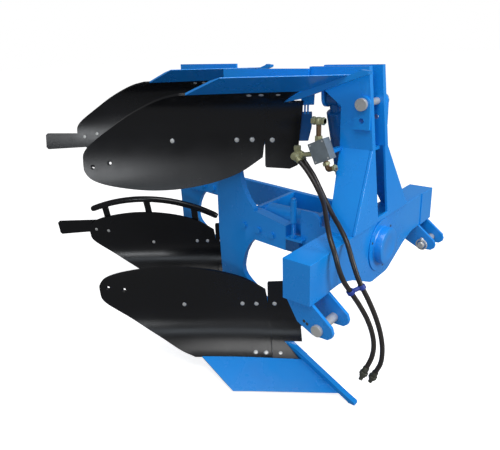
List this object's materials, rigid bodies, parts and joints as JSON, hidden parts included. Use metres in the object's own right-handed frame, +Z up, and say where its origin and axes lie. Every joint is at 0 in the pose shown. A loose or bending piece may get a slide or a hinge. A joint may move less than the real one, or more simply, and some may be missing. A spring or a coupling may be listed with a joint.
{
  "type": "reversible plough",
  "caption": "Mounted reversible mouldboard plough: a headstock with a hydraulic turnover cylinder, and a turning frame with bodies above and below",
  "frame": {"origin": "on the ground under the middle of the plough's outline, its hoses left aside; the lower bodies stand on it", "axes": "+Z up, +Y the direction of travel and towards the tractor, +X the plough's right-hand side"},
  "size_m": [1.0402, 1.9532, 1.258],
  "materials": {
    "blue_paint": "gloss",
    "black_paint": "satin",
    "pin_steel": "zinc plated",
    "rod_chrome": "polished",
    "bush_bronze": "satin",
    "valve_grey": "satin",
    "fitting_zinc": "yellow passivated",
    "hose_rubber": "matt",
    "tie_plastic": "matt"
  },
  "bodies": {
    "headstock": {"headstock_beam": "blue_paint", "front_plate": "blue_paint", "hub_cap": "blue_paint", "hub_bush": "bush_bronze", "mast_plate_right": "blue_paint", "mast_plate_left": "blue_paint", "mast_front_plate": "blue_paint", "top_link_pin": "pin_steel", "cylinder_bracket": "blue_paint", "cylinder_top_pin": "pin_steel", "hitch_ear_right_inner": "blue_paint", "hitch_ear_left_inner": "blue_paint", "hitch_ear_right_outer": "blue_paint", "hitch_ear_left_outer": "blue_paint", "hitch_pin_right": "pin_steel", "hitch_pin_left": "pin_steel", "hitch_linch_pin_right": "pin_steel", "hitch_linch_pin_left": "pin_steel", "top_link_linch_pin": "pin_steel", "valve_block": "valve_grey", "valve_bracket": "blue_paint", "hose_fittings": "fitting_zinc", "hose_left": "hose_rubber", "hose_right": "hose_rubber", "hose_coupler_left": "fitting_zinc", "hose_coupler_right": "fitting_zinc", "hose_tie": "tie_plastic"},
    "cylinder_barrel": {"cylinder_barrel": "blue_paint"},
    "cylinder_rod": {"cylinder_rod": "rod_chrome"},
    "plough_frame": {"turnover_shaft": "pin_steel", "shaft_nut": "pin_steel", "yoke_front_plate": "blue_paint", "yoke_rear_plate": "blue_paint", "yoke_web": "blue_paint", "adjusting_screw": "blue_paint", "near_rail": "blue_paint", "far_rail": "blue_paint", "cross_member": "blue_paint", "leg_front": "blue_paint", "leg_rear": "blue_paint", "mouldboard_front_lower": "black_paint", "mouldboard_front_upper": "black_paint", "mouldboard_rear_lower": "black_paint", "mouldboard_rear_upper": "black_paint", "shin_front_lower": "black_paint", "shin_front_upper": "black_paint", "shin_rear_lower": "black_paint", "shin_rear_upper": "black_paint", "share_front_lower": "blue_paint", "share_front_upper": "blue_paint", "share_rear_lower": "blue_paint", "share_rear_upper": "blue_paint", "bar_point_front_lower": "blue_paint", "bar_point_front_upper": "blue_paint", "bar_point_rear_lower": "blue_paint", "bar_point_rear_upper": "blue_paint", "tail_piece_lower": "black_paint", "tail_piece_upper": "black_paint", "guard_rod_lower": "black_paint", "guard_rod_upper": "black_paint"}
  },
  "joints": [
    {"name": "turnover", "type": "hinge", "parent": "headstock", "child": "plough_frame", "pos_m": [-0.0391, 0.82849, 0.626], "axis": [0, 1, 0], "range_deg": [0, 180]},
    {"name": "cylinder_swing", "type": "hinge", "parent": "headstock", "child": "cylinder_barrel", "pos_m": [-0.0391, 0.67349, 1.146], "axis": [0, 1, 0], "range_deg": [-34.3, 0]},
    {"name": "rod_slide", "type": "slide", "parent": "cylinder_barrel", "child": "cylinder_rod", "axis": [0.2941, 0, 0.9558], "range_m": [0, 0.184]}
  ],
  "couplings": [
    {"joint": "cylinder_swing", "follows": "turnover", "ratio": -0.19002}
  ]
}
